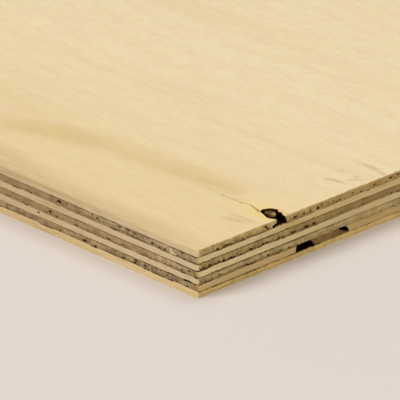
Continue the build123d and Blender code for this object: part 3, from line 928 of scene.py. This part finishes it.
def faceMaterial(name, seed, knotty):
    g = Graph(name, 0.25)
    f = faceFinish
    here = g.place()
    x, y = g.split(here)[:2]
    # the grain parts round the knot: it moves by -dy r^2 / (far^2 + r^2/4), where far is measured
    # with the length of the grain shortened
    across = y
    if knotty:
        dx = g.times(g.plus(x, f["knot"][0]), 1 / f["knotStretch"])
        dy = g.plus(y, -f["knot"][1])
        far2 = g.plus(g.times(dx, dx), g.times(dy, dy))
        r2 = f["knotRadius"] ** 2
        across = g.plus(y, g.times(dy, g.math("DIVIDE", -r2, g.plus(far2, r2 / 4))))

    def stretched(length, width, shift, *noise, crossing=across):
        # noise in cells of a length along the grain and a width across it
        return g.noise(g.join(g.times(x, 1 / length), g.times(crossing, 1 / width), shift), *noise)

    figure = stretched(210, 24, seed, 4, 0.55, 0.4)
    wave = stretched(170, 60, seed + 3, 2)
    rings = g.math("SINE", g.plus(g.times(across, 0.62), g.times(wave, 34.0)))
    fibres = stretched(16, 0.5, seed + 5, 4, 0.6)
    flecks = stretched(1.8, 0.4, seed + 7, 2)
    threads = stretched(45, 1.7, seed + 9, 4, 0.65)
    colour = g.blend(f["pale"], f["warm"], g.plus(y, g.times(figure, 60)), 150, 20)
    colour = g.blend(colour, f["band"], figure, 0.48, 0.7, 0.34)
    colour = g.blend(colour, f["band"], rings, 0.1, 1.0, 0.11)
    # handling raised the grain near the corner
    handled = g.between(fromEdge(g), 190, 25)
    for raised, low, high, more, least, paint in (
            (threads, 0.44, 0.68, 0.03, 0.07, "band"), (fibres, 0.46, 0.66, 0.12, 0.12, "band"),
            (flecks, 0.62, 0.74, 0.3, 0.12, "fleck")):
        strength = g.plus(g.times(handled, more), least)
        colour = g.mix(g.times(g.between(raised, low, high), strength), colour, f[paint])
    # soft mottling: darker, greener and redder patches a few millimetres long
    for paint, cell, shift, strength in (
            ("band", 5.0, 11, 0.28), ("olive", 11.0, 13, 0.26), ("rose", 13.0, 15, 0.34)):
        patch = stretched(cell, cell / 2.2, seed + shift, 4, 0.65)
        colour = g.blend(colour, f[paint], patch, 0.44, 0.66, strength)
    if not knotty:
        return g.finish(colour, 0.62, fibres, 0.05)
    # a soft golden streak, which bends to the side further in
    inward = g.times(x, -1)
    off = g.plus(y, g.times(g.curve(inward, f["streakPath"], 200, 60), -1))
    off = g.plus(off, g.swing(stretched(20, 5, 5, 3, crossing=y), 5.0))
    half = g.plus(g.between(inward, 25, 60, 3.2), 5.6)
    onStreak = g.between(g.math("DIVIDE", g.math("ABSOLUTE", off), half), 1.25, 0.1)
    onStreak = g.times(onStreak, g.curve(inward, f["streakTone"], 200, 1.2))
    colour = g.mix(g.times(onStreak, g.between(threads, 0, 0.6, 0.4)), colour, f["streak"])
    # hand dirt in a band along the side, and more of it at the very arris farther from the corner
    rub = stretched(7, 1.4, 8, 5, 0.7, crossing=y)
    reach = g.plus(y, g.plus(g.times(rub, 7.0), g.between(inward, 60, 130, -7)))
    dirt = g.times(g.between(reach, 16.0, 6.0), g.between(rub, 0, 0.9, 0.56))
    # and both of them end in patches further in
    patchy = stretched(55, 9, 12, 4, 0.6, crossing=y)
    lasting = g.between(g.plus(patchy, g.between(inward, 130, 430, 0.6, "LINEAR")), 0.95, 0.6)
    dirt = g.times(g.times(dirt, g.plus(g.between(inward, 2, 30, 0.5), 0.5)), lasting)
    colour = g.mix(dirt, colour, f["dirt"])
    arris = g.times(g.between(g.plus(y, g.times(rub, 1.6)), 3.2, 0.9), g.between(inward, -6, 80, 0.4))
    colour = g.mix(g.times(arris, lasting), colour, f["dirt"])
    # the knot hole: a pale halo, a yellow rim and a reddish one beside the saw cut
    rough = g.swing(g.noise(g.place([1.6, 1.6, 9]), 3), 2.2)
    near = g.add(here, g.join(rough, rough))
    u, v = f["knot"]
    colour = g.mix(g.times(g.oval(here, u + 3, v - 0.5, 13, 7.5, 0, 0.6), 0.45), colour, f["halo"])
    colour = g.mix(g.times(g.oval(near, u + 0.8, v - 0.9, 7.0, 4.3, 0, 0.3), 0.36), colour, f["rim"])
    blur = g.add(here, g.join(*(
        g.swing(g.noise(g.place([1.1, 0.8, 9], (shift, shift, shift)), 2), strength)
        for shift, strength in ((0, 1.6), (5, 1.2)))))
    # the crack is brown along its lips, and goes on as a row of faint dashes
    path = [(0, 39), *crackLine, (31, 40.0), (35.5, 40.3), (42, 40.7), (50, 41)]
    off = g.math("ABSOLUTE", g.plus(y, g.times(g.curve(inward, path, 50, 60), -1)))
    dashes = g.between(g.noise(g.join(g.times(x, 0.55), 3, 1), 3), 0.36, 0.6)
    lip = g.times(g.between(off, 0.62, 0.1), g.between(inward, 42, 6, 0.72))
    lip = g.times(lip, g.between(inward, 8.6, 9.6))
    lip = g.times(lip, g.math("MAXIMUM", dashes, g.between(inward, 20, 11)))
    colour = g.mix(lip, colour, f["crack"])
    for marks, paint in (("yellow", "rim"), ("orange", "red"), ("smudges", "smudge"),
                         ("pitchMarks", "pitch"), ("beads", "crack")):
        for u, v, halfLength, halfWidth, turn, strength in f[marks]:
            spot = g.oval(blur, u, v, halfLength, halfWidth, turn, 0.85)
            colour = g.mix(g.times(spot, strength), colour, f[paint])
    colour = darkened(g, colour)
    return g.finish(colour, 0.55, fibres, 0.05)


holeWall = holeMaterial()
faceWood = faceMaterial("face_wood", 1.0, True)
backWood = faceMaterial("back_wood", 11.0, False)


def sawnLooks(name, grain, longColours, endColours, seed, outer=None, resinAt=None, palerAt=None,
              creased=False):
    # materials of one veneer: along its grain, across it, hole walls, and its outer surface if it
    # has one
    axis = 0 if grain == "x" else 1
    bands = glueBands[name]
    along = longGrainMaterial(name + "_along", axis, longColours, seed, bands[:2], resinAt, creased)
    across = endGrainMaterial(name + "_across", axis, endColours, seed + 2, bands[2:], palerAt)
    return [along, across, holeWall] + ([] if outer is None else [outer])


print("materials made")

faceHole = {
    "lower": [(0.0, 38.95), (0.8, 38.9), (2.0, 38.3), (3.3, 37.9), (4.8, 38.1), (6.3, 38.7),
              (7.8, 39.25), (9.0, 39.6)],
    "upper": [(9.1, 39.85), (9.6, 40.6), (9.75, 41.6), (9.4, 42.8), (8.6, 43.85), (7.4, 44.6), (6.2, 44.9),
              (5.5, 44.5), (5.0, 43.85), (4.6, 43.8), (4.1, 44.15), (3.5, 44.1), (2.8, 43.7), (2.1, 43.25),
              (1.1, 43.0), (0.0, 42.75)],
    "crackWidth": 0.05, "undercut": 2.2, "lean": 1.0,
    # the next line's first oval, u, v and half sizes, marks the surfaces inside the hole that are painted
    # dark as shade
    "paintedShade": (4.0, 41.2, 7.4, 4.6), "patch": ((0.4, 12.4, 0.6), (36.4, 46.4, 0.6)),
}
bandHole = {"centre": (2.0, 61.4), "radii": (7.2, 13.75), "nearLean": 0.6, "dome": 2.7,
            "patch": ((0.5, 11.5, 0.8), (46.5, 77.5, 0.8))}
joint = {"slope": 2.9, "endRound": 0.25, "roundDepth": 0.65, "roundReach": 2.5, "wall": 0.05}
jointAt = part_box("upper_crossband")[1].x / mm
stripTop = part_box("upper_crossband_strip")[0].x / mm


def hole(shape):
    # lips of the knot hole, with the crack as a thin wedge between them
    lower, back = smoothLine(shape["lower"], 8, "hole"), smoothLine(shape["upper"], 6, "hole")
    path = np.array(crackLine)
    half = 0.5 * shape["crackWidth"] * np.linspace(1, 0.3, len(path)) ** 3
    there = smoothLine(np.stack([path[:, 0], path[:, 1] - half], 1), 8, "crack")
    again = smoothLine(np.stack([path[:, 0], path[:, 1] + half], 1)[::-1], 8, "crack")
    return [lower, there, again, back]


def holeShadeOval(u, v, halfU, halfV):
    # 1 inside an oval on the sheet, fading out over the next sixth of its size: where the surfaces inside a
    # hole are painted dark as shade
    def paintedShade(xy):
        du, dv = fromCorner(xy)
        far = np.hypot((du - u) / halfU, (dv - v) / halfV)
        return above(1.16 - far, 0, 0.16)
    return paintedShade


# ovals of painted shade on the surfaces inside the void and inside the face's hole
voidShade, faceHoleShade = holeShadeOval(*bandHole["centre"], *bandHole["radii"]), holeShadeOval(*faceHole["paintedShade"])
voidPatch, facePatch = finePatch(*bandHole["patch"]), finePatch(*faceHole["patch"])

plain = sheetOutline()
veneer("backVeneer", "back_veneer", "x", 1000,
       sawnLooks("back", "x", "longGold", "endBack", 9.0, backWood), plain,
       shapeLow=lambda low, outline: low + chips(outline), shadeAbove=voidShade, extra=voidPatch, torn=0.25)

# where the oval of the hole meets the end of the sheet
lipAngle = math.degrees(math.acos(bandHole["centre"][0] / bandHole["radii"][0]))
lipReach = bandHole["radii"][1] * math.sin(math.radians(lipAngle))
lipV = (bandHole["centre"][1] - lipReach, bandHole["centre"][1] + lipReach)
bandWall = arc((endX - bandHole["centre"][0], sideY + bandHole["centre"][1]), bandHole["radii"],
               -lipAngle, lipAngle - 360, "hole", 130)


def domedVoid(xy, share):
    # the hole's near wall leans a little, and its far wall bends over into a dome: it moves by
    # dome (1 - sqrt(1 - share^2)). Both shifts fade out along the wall and into the wood
    v = fromCorner(xy)[1]
    far = np.interp(v, [60, lipV[1] - 0.6, lipV[1] + 0.3, lipV[1] + 3.2], [0, 1, 1, 0])
    nearWall = np.interp(v, [lipV[0] - 4, lipV[0] - 0.3, lipV[0] + 0.6, 56], [0, 1, 1, 0])
    dome = bandHole["dome"] * (1 - np.sqrt(1 - share ** 2)) * far
    return moved(xy, dy=bandHole["nearLean"] * share * nearWall - dome)


veneer("lowerCrossband", "lower_crossband", "y", 1100,
       sawnLooks("sixth", "y", "longTan", "endSixth", 4.0), sheetOutline([(*lipV, [bandWall])]),
       warp=domedVoid)
veneer("lowerLongPly", "lower_long_ply", "x", 1200,
       sawnLooks("fifth", "x", "longLight", "endFifth", 1.0), plain,
       shadeBelow=voidShade, extra=voidPatch, torn=0.6)
veneer("coreCrossband", "core_crossband", "y", 1300,
       sawnLooks("middle", "y", "longMiddle", "endMiddle", 6.0), plain)


ridgeStops = [jointAt - joint["wall"], jointAt, stripTop, stripTop + joint["slope"]]


def ridge(height, xy):
    # the third veneer swells into the joint: a straight wall on one side, a slope on the other
    rise = glueHeights[6] - glueHeights[5]
    return height + np.interp(xy[:, 0], ridgeStops, [0, rise, rise, 0])


rungs = np.linspace(sideY + 1, farSideY - 1, 120)
ridgePoints = np.vstack([np.stack([0 * rungs + x, rungs], 1) for x in ridgeStops])
veneer("upperLongPly", "upper_long_ply", "x", 1400,
       sawnLooks("third", "x", "longLight", "endThird", 3.0, creased=True),
       sheetOutline(stops=ridgeStops), shapeHigh=ridge, extra=ridgePoints)


def roundedEnd(xy, share):
    # the corners of the band's end draw back: depth (1 - sqrt(1 - s^2)), with s from the start of
    # the round
    part = 2 * joint["endRound"]
    past = np.clip((np.abs(2 * share - 1) - 1 + part) / part, 0, 1)
    near = np.clip(1 - (jointAt - xy[..., 0]) / joint["roundReach"], 0, 1)
    return moved(xy, -joint["roundDepth"] * near * (1 - np.sqrt(1 - past ** 2)))


def slopingEnd(xy, share):
    # the strip's inner end leans back with the height, and less so towards the sheet's end
    return moved(xy, -joint["slope"] * share * (endX - xy[..., 0]) / (endX - ridgeStops[3]))


secondLooks = sawnLooks("second", "y", "longSecond", "endSecond", 7.0, resinAt=46,
                        palerAt=(endX - jointAt, 5.4, 1.4))
veneer("upperCrossband", "upper_crossband", "y", 1500, secondLooks,
       sheetOutline(highX=jointAt), warp=roundedEnd)
veneer("upperCrossbandStrip", "upper_crossband_strip", "y", 1550, secondLooks,
       sheetOutline(lowX=ridgeStops[3]), warp=slopingEnd, shadeAbove=faceHoleShade, extra=facePatch)


def undercutMouth(xy, share):
    # where the hole opens at the end, its near wall is cut away under the lip, and its far wall
    # leans back. Both fade out inward and along the end
    u, v = fromCorner(xy)
    atMouth = 1 - above(u, 1.2, 3.4)
    near = np.interp(v, [33.5, 38.9, 39.4, 40.6], [0, 1, 1, 0])
    near = faceHole["undercut"] * above(0.5 - share, 0, 0.14) * near
    far = faceHole["lean"] * (1 - share) * np.interp(v, [41.6, 42.7, 45.0, 47.5], [0, 1, 1, 0])
    return moved(xy, dy=atMouth * (far - near))


veneer("faceVeneer", "face_veneer", "x", 1600,
       sawnLooks("face", "x", "longLight", "endFace", 5.0, faceWood, palerAt=(36.4, 2.6, 0)),
       sheetOutline([(faceHole["lower"][0][1], faceHole["upper"][-1][1], hole(faceHole))]),
       warp=undercutMouth, extra=facePatch)
print("veneers made")

# The loose knot in the sixth veneer was sawn through with the sheet. Its near flank leans over
# the void, and its far one runs out into a thin tongue under the dome.
bandKnot = {"nearFlank": [(55.5, 2.55), (56.5, 1.75), (57.2, 0.9), (57.7, 0)],   # v, height from below
            "farFlank": [(69.5, 2.6), (70.1, 1.95), (72.6, 0.5), (74.6, 0.06)],
            "depth": 7.0, "rough": 0.16, "cell": 0.9, "crack": 0.2,
            "clearance": 0.01, "thinnest": 0.02}


def sawnKnot():
    k = bandKnot
    nearV, farV = k["nearFlank"][0][0], k["farFlank"][-1][0]
    middle = (nearV + farV) / 2
    back = np.linspace(0, 1, 40)[1:]
    # the hidden back is half an oval behind the saw cut
    behind = (np.stack([endX - k["thinnest"] - k["depth"] * np.sin(np.pi * back),
                        sideY + middle + (farV - middle) * np.cos(np.pi * back)], 1), ["hole"] * len(back))
    outline = outlineOf(run((endX, sideY + nearV), (endX, sideY + farV), "end"), behind)
    xy = outline["xy"]
    bottom, top = glueHeights[1], glueHeights[2]

    def under(places):
        return bottom + k["clearance"] + np.interp(fromCorner(places)[1], *np.transpose(k["nearFlank"]))

    def over(places):
        rise = np.interp(fromCorner(places)[1], *np.transpose(k["farFlank"]))
        return np.maximum(np.minimum(bottom + rise, top - k["clearance"]), under(places) + k["thinnest"])

    low, high = under(xy) + glueWave(6, xy), over(xy) + glueWave(5, xy)
    high = np.maximum(high, low + k["thinnest"])
    heights = rowHeights(low, high, meshing["rows"])
    along = outline["along"][:, None] + 0 * heights
    crack = above(fractal(along / 0.7, heights / 5, 2001, 2), 0.68, 0.78)
    depth = k["rough"] * fractal(along / k["cell"], heights / k["cell"], 2000, 3) + k["crack"] * crack
    v = fromCorner(xy)[1]
    toFlank = np.minimum(v - nearV, farV - v)[:, None]
    depth = np.minimum(depth, 0.03 + 0.3 * np.abs(toFlank)) + 0.12
    # the cracks are painted dark as shade in them, and the hidden back nearly black
    dark = np.maximum(0.35 * crack, np.where(outline["kind"] == "hole", 0.8, 0)[:, None] + 0 * crack)
    inner = finePatch((0.6, k["depth"], 0.7), (nearV, farV, 0.5))
    u, v = fromCorner(inner)
    inner = inner[np.hypot(u / k["depth"], (v - middle) / (farV - middle)) < 0.93]
    # the flanks that face into the void are painted nearly black as shade in the void
    caps = [(inner, under(inner), 0.9 + 0 * low, 0.9 + 0 * inner[:, 0]),
            (inner, over(inner), 0.75 + 0 * low, 0.8 + 0 * inner[:, 0])]
    look = dict.fromkeys(("end", "hole", "below", "above"), 0)
    piece = closedMesh("lowerCrossbandKnot", outline, low, high, depth, dark, caps, [bandKnotWood], look)
    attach(piece, "root")
    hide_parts("lower_crossband_knot")


# What is left of the face's knot: it nearly fills the hole behind the mouth, a little lower than
# the face, and its broken crown falls away towards the mouth.
faceKnot = {
    "outline": [(8.6, 40.7), (8.7, 41.7), (8.2, 42.9), (7.2, 43.7), (6.0, 43.9), (4.95, 43.3),
                (4.1, 42.3), (3.7, 41.1), (3.9, 40.3), (4.8, 39.9), (6.2, 40.0), (7.7, 40.2)],
    "middle": (6.1, 41.8), "drop": 0.06, "crown": 0.14, "slope": 0.08, "rough": 0.26, "split": 0.35,
    "rings": 22,
}


def knotStub():
    # polar grid: a point at the share r of the way from the middle to the outline lies at
    # drop + crown r^6 below the face, and lower towards the mouth, in splits and where the break
    # is rough
    k = faceKnot
    rim = smoothLine(k["outline"] + k["outline"][:1], 8, "")[0]
    middle = np.array([endX - k["middle"][0], sideY + k["middle"][1]])
    r = np.linspace(0, 1, k["rings"] + 1)[1:, None]
    ragged = 1 - 0.08 * fractal(rim[:, 0] / 0.8, rim[:, 1] / 0.8, 2100, 2)
    x, y = (r * (ragged * (rim - middle).T[axis]) for axis in (0, 1))
    broken = fractal(x / 1.3 + 9, y / 0.5 + 9, 2101, 3)
    split = above(fractal(x / 3.2 + 3, y / 0.3 + 3, 2102, 2), 0.6, 0.74)
    z = glueHeights[7] - k["drop"] - k["crown"] * r ** 6 - k["slope"] * (x + 2.6).clip(0)
    z = z - k["split"] * split - k["rough"] * (0.75 - broken).clip(0)
    top = np.stack([middle[0] + x, middle[1] + y, z], -1)
    foot = top[-1:].copy()
    foot[..., 2] = glueHeights[6]
    points = np.vstack([top.reshape(-1, 3), foot.reshape(-1, 3),
                        [*middle, z[0].mean()], [*middle, glueHeights[6]]])
    n, rows = len(rim), k["rings"] + 1
    i, j = np.meshgrid(np.arange(n), np.arange(rows - 1))
    i, j = i.ravel(), j.ravel()
    quads = np.stack([j * n + i, (j + 1) * n + i, (j + 1) * n + (i + 1) % n, j * n + (i + 1) % n], 1)
    ring = np.arange(n)
    crown = np.stack([ring, (ring + 1) % n, 0 * ring + rows * n], 1)
    base = np.stack([(ring + 1) % n + (rows - 1) * n, ring + (rows - 1) * n, 0 * ring + rows * n + 1], 1)
    turn = 1 if np.cross(rim[0] - middle, rim[1] - middle) > 0 else -1
    faces = [face[::turn] for face in quads.tolist() + crown.tolist() + base.tolist()]
    mesh = bpy.data.meshes.new("faceKnot")
    mesh.from_pydata((points * mm).tolist(), [], faces)
    # the splits and the stub's rim are painted dark: painted shade in the splits and in the gap round the
    # stub, and its foot is painted black
    dark = np.maximum(0.85 * split, above(r + 0 * x + 0.3 * (broken - 0.5), 0.84, 1.0))
    darkAt = np.concatenate([dark.ravel(), np.ones(n), [0.2, 1]])
    mesh.attributes.new("dark", "FLOAT", "POINT").data.foreach_set("value", darkAt.astype(np.float32))
    mesh.polygons.foreach_set("use_smooth", [True] * len(faces))
    mesh.materials.append(faceKnotWood)
    piece = addObject("faceKnot", mesh)
    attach(piece, "root")
    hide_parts("face_knot")


bandKnotWood = knotMaterial("crossband_knot", 1.5, 63.0, srgb(160, 128, 82), srgb(108, 80, 44),
                            3.4, [0.9, 0.5, 1.2])
# the face knot's pale yellow middle round u 5.2, v 42.4 is a painted highlight; farther out it turns to the
# knot's own dark brown
faceKnotWood = knotMaterial("face_knot", 5.2, 42.4, srgb(196, 182, 116), srgb(80, 56, 30),
                            0.62, [1.5, 0.3, 1.2])
sawnKnot()
knotStub()
print("knots made")

# The photograph's view of the corner. The corner's foot is at these pixels of a 400 pixel picture.
view = {"azimuth": 46.01, "elevation": 23.94, "focalPixels": 6400.0, "pixelsPerMm": 2.874,
        "cornerPixel": (197.6, 298.7), "picture": 400.0}


def addCamera():
    # the camera looks along the view's direction from a distance of focal length over scale,
    # and stands aside by what puts the corner at its pixel
    a, e = math.radians(view["azimuth"]), math.radians(view["elevation"])
    right = Vector((math.cos(a), math.sin(a), 0))
    back = Vector((math.sin(a) * math.cos(e), -math.cos(a) * math.cos(e), math.sin(e)))
    up = back.cross(right)
    half = view["picture"] / 2
    across = (view["cornerPixel"][0] - half) / view["pixelsPerMm"]
    upward = (half - view["cornerPixel"][1]) / view["pixelsPerMm"]
    distance = view["focalPixels"] / view["pixelsPerMm"]
    camera = addObject("camera", bpy.data.cameras.new("camera"))
    camera.data.sensor_width = 36.0
    camera.data.lens = view["focalPixels"] / view["picture"] * camera.data.sensor_width
    corner = Vector((endX, sideY, 0))
    camera.location = (corner + back * distance - right * across - up * upward) * mm
    camera.rotation_euler = Matrix((right, up, back)).transposed().to_euler()
    camera.data.clip_start, camera.data.clip_end = 0.05, 200
    bpy.context.scene.camera = camera


# Lamps are name, place from the point they aim at in metres, size in metres, watts, colour.
studio = {
    "floor": srgb(223, 215, 215), "floorHalf": 90.0, "floorDrop": 0.0001, "aim": 60.0,
    "sky": srgb(240, 239, 236), "skyStrength": 0.31, "backdropStrength": 0.9,
    "lamps": [("key", (-0.9, -2.6, 2.6), 1.6, 66.0, srgb(255, 251, 244)),
              ("fill", (3.2, -0.6, 1.9), 1.6, 41.0, srgb(255, 252, 214)),
              ("top", (-0.4, 0.8, 3.2), 2.2, 41.0, srgb(255, 252, 246)),
              ("under", (-0.55, 0.245, -2.0), 1.2, 19.0, srgb(250, 250, 255))],
}


def addStudio():
    h, z = studio["floorHalf"], -studio["floorDrop"]
    mesh = bpy.data.meshes.new("floor")
    mesh.from_pydata([(-h, -h, z), (h, -h, z), (h, h, z), (-h, h, z)], [], [(0, 1, 2, 3)])
    floor = addObject("floor", mesh)
    g = Graph("floor")
    g.shader.inputs["Base Color"].default_value = studio["floor"]
    g.shader.inputs["Roughness"].default_value = 0.6
    # from below the floor is clear, and under the sheet it lets light through, so that the
    # underside can be looked at
    clear = g.node("ShaderNodeBsdfTransparent")
    x, y = g.split(g.node("ShaderNodeTexCoord").outputs["Object"])[:2]
    under = g.times(g.math("LESS_THAN", g.math("ABSOLUTE", x), endX * mm),
                    g.math("LESS_THAN", g.math("ABSOLUTE", y), farSideY * mm))
    lit = g.times(under, g.node("ShaderNodeLightPath").outputs["Is Shadow Ray"])
    seen = g.math("MAXIMUM", lit, g.node("ShaderNodeNewGeometry").outputs["Backfacing"])
    sides = g.node("ShaderNodeMixShader", {0: seen, 1: g.shader.outputs[0], 2: clear.outputs[0]})
    g.links.new(sides.outputs[0], g.nodes["Material Output"].inputs["Surface"])
    mesh.materials.append(g.material)
    world = bpy.data.worlds.new("studio")
    world.use_nodes = True
    nodes, links = world.node_tree.nodes, world.node_tree.links
    sky, backdrop = nodes["Background"], nodes.new("ShaderNodeBackground")
    mixer, path = nodes.new("ShaderNodeMixShader"), nodes.new("ShaderNodeLightPath")
    for node, strength in ((sky, studio["skyStrength"]), (backdrop, studio["backdropStrength"])):
        node.inputs["Color"].default_value = studio["sky"]
        node.inputs["Strength"].default_value = strength
    links.new(path.outputs["Is Camera Ray"], mixer.inputs[0])
    links.new(sky.outputs[0], mixer.inputs[1])
    links.new(backdrop.outputs[0], mixer.inputs[2])
    links.new(mixer.outputs[0], nodes["World Output"].inputs["Surface"])
    bpy.context.scene.world = world
    target = Vector((endX - studio["aim"], sideY + studio["aim"], 0)) * mm
    for name, position, size, power, colour in studio["lamps"]:
        lamp = addObject(name, bpy.data.lights.new(name, "AREA"))
        lamp.data.size, lamp.data.energy, lamp.data.color = size, power, colour[:3]
        lamp.location = target + Vector(position)
        lamp.rotation_euler = (target - lamp.location).to_track_quat("-Z", "Y").to_euler()
        lamp.visible_camera = False
    bpy.context.scene.view_settings.view_transform = "Standard"


addCamera()
addStudio()
print("camera and studio made")
